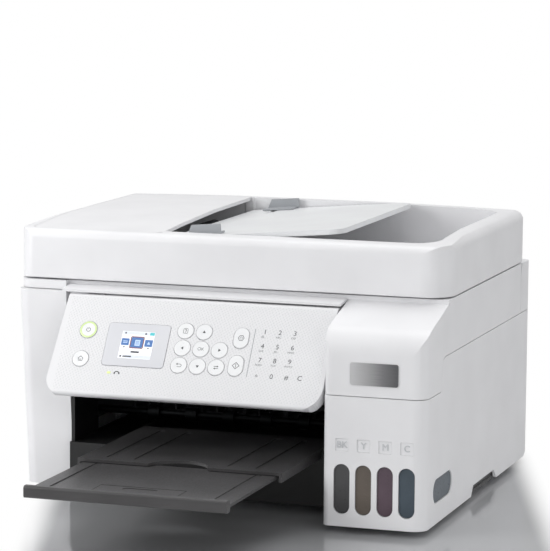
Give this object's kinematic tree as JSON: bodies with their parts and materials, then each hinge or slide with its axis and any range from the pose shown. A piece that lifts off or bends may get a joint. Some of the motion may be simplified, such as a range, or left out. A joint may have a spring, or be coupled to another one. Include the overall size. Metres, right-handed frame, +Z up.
{
  "type": "inkjet printer",
  "caption": "White inkjet printer with a flatbed scanner lid, document feeder, tilting control panel, front ink tanks and an extending output tray.",
  "frame": {"origin": "on the floor under the middle of the printer with its tray pulled out", "axes": "+X to the right seen from the front, +Y to the rear, +Z up"},
  "size_m": [0.375, 0.507, 0.2353],
  "materials": {
    "white_abs": "moulded, fine satin",
    "panel_abs": "moulded, fine dot texture",
    "inner_black": "moulded",
    "tray_grey": "moulded, fine grain",
    "tank_bk": "clear wall over ink",
    "tank_y": "clear wall over ink",
    "tank_m": "clear wall over ink",
    "tank_c": "clear wall over ink",
    "deck_grey": "moulded",
    "cap_bk": "moulded",
    "cap_y": "moulded",
    "cap_m": "moulded",
    "cap_c": "moulded",
    "foot_rubber": "moulded",
    "zinc_steel": "galvanised sheet",
    "shaft_steel": "ground shaft with rubber",
    "belt_rubber": "toothed belt",
    "motor_steel": "plated can",
    "mech_black": "moulded",
    "guide_grey": "moulded",
    "support_white": "moulded",
    "button_white": "moulded",
    "power_ring": "lit ring round a clear button",
    "screen": "clear window over a display",
    "glass": "float glass",
    "sensor_black": "moulded",
    "pad_white": "foam under a white sheet",
    "dguide_grey": "moulded"
  },
  "bodies": {
    "base": {"lower_case": "white_abs", "sill_frame": "inner_black", "ledge_beam": "white_abs", "tank_housing": "white_abs", "tank_black": "tank_bk", "tank_yellow": "tank_y", "tank_magenta": "tank_m", "tank_cyan": "tank_c", "filler_deck": "deck_grey", "feet": "foot_rubber", "chassis_frame": "zinc_steel", "drive_belt": "belt_rubber", "carriage_motor": "motor_steel", "platen": "mech_black", "star_wheel_bar": "mech_black", "capping_station": "mech_black", "power_inlet": "inner_black", "port_block": "inner_black", "feed_chute": "inner_black"},
    "scanner_unit": {"scanner_frame": "white_abs", "scanner_glass": "glass"},
    "lid": {"lid_body": "white_abs", "pressure_pad": "pad_white"},
    "scan_head": {"scan_carriage": "sensor_black"},
    "feeder_cover": {"feeder_cover": "white_abs"},
    "document_tray": {"document_tray": "white_abs"},
    "document_guide_front": {"document_guide_front": "dguide_grey"},
    "document_guide_rear": {"document_guide_rear": "dguide_grey"},
    "document_roller": {"document_roller": "guide_grey"},
    "panel": {"control_panel": "panel_abs", "screen_window": "screen"},
    "power_button": {"power_button": "power_ring"},
    "home_button": {"home_button": "button_white"},
    "stop_button": {"stop_button": "button_white"},
    "start_button": {"start_button": "button_white"},
    "help_button": {"help_button": "button_white"},
    "up_button": {"up_button": "button_white"},
    "left_button": {"left_button": "button_white"},
    "ok_button": {"ok_button": "button_white"},
    "right_button": {"right_button": "button_white"},
    "back_button": {"back_button": "button_white"},
    "down_button": {"down_button": "button_white"},
    "mode_button": {"mode_button": "button_white"},
    "cap_black": {"cap_black": "cap_bk"},
    "cap_yellow": {"cap_yellow": "cap_y"},
    "cap_magenta": {"cap_magenta": "cap_m"},
    "cap_cyan": {"cap_cyan": "cap_c"},
    "tray_stage_1": {"tray_stage_1": "tray_grey"},
    "tray_stage_2": {"tray_stage_2": "tray_grey"},
    "paper_stop": {"paper_stop": "tray_grey"},
    "print_carriage": {"print_carriage": "mech_black"},
    "feed_roller": {"feed_roller": "shaft_steel"},
    "exit_roller": {"exit_roller": "shaft_steel"},
    "pick_roller": {"pick_roller": "shaft_steel"},
    "hopper_plate": {"hopper_plate": "mech_black"},
    "paper_support": {"paper_support": "support_white"},
    "support_extension": {"support_extension": "support_white"},
    "paper_guide_left": {"paper_guide_left": "guide_grey"},
    "paper_guide_right": {"paper_guide_right": "guide_grey"}
  },
  "joints": [
    {"name": "scanner_unit_hinge", "type": "hinge", "parent": "base", "child": "scanner_unit", "pos_m": [0, 0.2225, 0.177], "axis": [-1, 0, 0], "range_deg": [0, 25]},
    {"name": "lid_hinge", "type": "hinge", "parent": "scanner_unit", "child": "lid", "pos_m": [0, 0.2285, 0.207], "axis": [1, 0, 0], "range_deg": [-75, 0]},
    {"name": "scan_head_slide", "type": "slide", "parent": "scanner_unit", "child": "scan_head", "axis": [1, 0, 0], "range_m": [0, 0.274]},
    {"name": "feeder_cover_hinge", "type": "hinge", "parent": "lid", "child": "feeder_cover", "pos_m": [-0.1785, 0.0965, 0.2309], "axis": [0, -1, 0], "range_deg": [0, 80]},
    {"name": "document_tray_hinge", "type": "hinge", "parent": "lid", "child": "document_tray", "pos_m": [-0.054, 0.0965, 0.2181], "axis": [0, -1, 0], "range_deg": [0, 70]},
    {"name": "document_guide_front_slide", "type": "slide", "parent": "document_tray", "child": "document_guide_front", "axis": [0, 1, 0], "range_m": [0, 0.03]},
    {"name": "document_guide_rear_slide", "type": "slide", "parent": "document_tray", "child": "document_guide_rear", "axis": [0, -1, 0], "range_m": [0, 0.03]},
    {"name": "document_roller_spin", "type": "hinge", "parent": "lid", "child": "document_roller", "pos_m": [-0.084, 0.0965, 0.208], "axis": [0, 1, 0], "continuous": true},
    {"name": "panel_hinge", "type": "hinge", "parent": "base", "child": "panel", "pos_m": [-0.01675, -0.04648, 0.16959], "axis": [-1, 0, 0], "range_deg": [0, 40]},
    {"name": "power_button_press", "type": "slide", "parent": "panel", "child": "power_button", "axis": [0, 0.8387, -0.5446], "range_m": [0, 0.0008], "stiffness_N_per_m": 300},
    {"name": "home_button_press", "type": "slide", "parent": "panel", "child": "home_button", "axis": [0, 0.8387, -0.5446], "range_m": [0, 0.0008], "stiffness_N_per_m": 300},
    {"name": "stop_button_press", "type": "slide", "parent": "panel", "child": "stop_button", "axis": [0, 0.8387, -0.5446], "range_m": [0, 0.0008], "stiffness_N_per_m": 300},
    {"name": "start_button_press", "type": "slide", "parent": "panel", "child": "start_button", "axis": [0, 0.8387, -0.5446], "range_m": [0, 0.0008], "stiffness_N_per_m": 300},
    {"name": "help_button_press", "type": "slide", "parent": "panel", "child": "help_button", "axis": [0, 0.8387, -0.5446], "range_m": [0, 0.0008], "stiffness_N_per_m": 300},
    {"name": "up_button_press", "type": "slide", "parent": "panel", "child": "up_button", "axis": [0, 0.8387, -0.5446], "range_m": [0, 0.0008], "stiffness_N_per_m": 300},
    {"name": "left_button_press", "type": "slide", "parent": "panel", "child": "left_button", "axis": [0, 0.8387, -0.5446], "range_m": [0, 0.0008], "stiffness_N_per_m": 300},
    {"name": "ok_button_press", "type": "slide", "parent": "panel", "child": "ok_button", "axis": [0, 0.8387, -0.5446], "range_m": [0, 0.0008], "stiffness_N_per_m": 300},
    {"name": "right_button_press", "type": "slide", "parent": "panel", "child": "right_button", "axis": [0, 0.8387, -0.5446], "range_m": [0, 0.0008], "stiffness_N_per_m": 300},
    {"name": "back_button_press", "type": "slide", "parent": "panel", "child": "back_button", "axis": [0, 0.8387, -0.5446], "range_m": [0, 0.0008], "stiffness_N_per_m": 300},
    {"name": "down_button_press", "type": "slide", "parent": "panel", "child": "down_button", "axis": [0, 0.8387, -0.5446], "range_m": [0, 0.0008], "stiffness_N_per_m": 300},
    {"name": "mode_button_press", "type": "slide", "parent": "panel", "child": "mode_button", "axis": [0, 0.8387, -0.5446], "range_m": [0, 0.0008], "stiffness_N_per_m": 300},
    {"name": "cap_black_hinge", "type": "hinge", "parent": "base", "child": "cap_black", "pos_m": [0.11825, -0.0435, 0.114], "axis": [-1, 0, 0], "range_deg": [0, 100]},
    {"name": "cap_yellow_hinge", "type": "hinge", "parent": "base", "child": "cap_yellow", "pos_m": [0.13625, -0.0435, 0.114], "axis": [-1, 0, 0], "range_deg": [0, 100]},
    {"name": "cap_magenta_hinge", "type": "hinge", "parent": "base", "child": "cap_magenta", "pos_m": [0.15425, -0.0435, 0.114], "axis": [-1, 0, 0], "range_deg": [0, 100]},
    {"name": "cap_cyan_hinge", "type": "hinge", "parent": "base", "child": "cap_cyan", "pos_m": [0.17225, -0.0435, 0.114], "axis": [-1, 0, 0], "range_deg": [0, 100]},
    {"name": "tray_stage_1_slide", "type": "slide", "parent": "base", "child": "tray_stage_1", "axis": [0, 1, 0], "range_m": [0, 0.1]},
    {"name": "tray_stage_2_slide", "type": "slide", "parent": "tray_stage_1", "child": "tray_stage_2", "axis": [0, 1, 0], "range_m": [0, 0.105]},
    {"name": "paper_stop_hinge", "type": "hinge", "parent": "tray_stage_2", "child": "paper_stop", "pos_m": [-0.006, -0.2433, 0.0498], "axis": [1, 0, 0], "range_deg": [0, 90]},
    {"name": "print_carriage_slide", "type": "slide", "parent": "base", "child": "print_carriage", "axis": [-1, 0, 0], "range_m": [0, 0.236]},
    {"name": "feed_roller_spin", "type": "hinge", "parent": "base", "child": "feed_roller", "pos_m": [0, 0.1125, 0.0625], "axis": [1, 0, 0], "continuous": true},
    {"name": "exit_roller_spin", "type": "hinge", "parent": "base", "child": "exit_roller", "pos_m": [0, 0.0395, 0.0622], "axis": [1, 0, 0], "continuous": true},
    {"name": "pick_roller_spin", "type": "hinge", "parent": "base", "child": "pick_roller", "pos_m": [0, 0.17158, 0.09491], "axis": [1, 0, 0], "continuous": true},
    {"name": "hopper_hinge", "type": "hinge", "parent": "base", "child": "hopper_plate", "pos_m": [-0.006, 0.21563, 0.1376], "axis": [-1, 0, 0], "range_deg": [0, 3]},
    {"name": "paper_support_slide", "type": "slide", "parent": "base", "child": "paper_support", "axis": [0, 0.5, 0.866], "range_m": [0, 0.088]},
    {"name": "support_extension_slide", "type": "slide", "parent": "paper_support", "child": "support_extension", "axis": [0, 0.5, 0.866], "range_m": [0, 0.078]},
    {"name": "paper_guide_left_slide", "type": "slide", "parent": "base", "child": "paper_guide_left", "axis": [1, 0, 0], "range_m": [0, 0.05]},
    {"name": "paper_guide_right_slide", "type": "slide", "parent": "base", "child": "paper_guide_right", "axis": [-1, 0, 0], "range_m": [0, 0.05]}
  ],
  "couplings": [
    {"joint": "document_guide_rear_slide", "follows": "document_guide_front_slide", "ratio": 1},
    {"joint": "exit_roller_spin", "follows": "feed_roller_spin", "ratio": 1},
    {"joint": "paper_guide_right_slide", "follows": "paper_guide_left_slide", "ratio": 1}
  ]
}
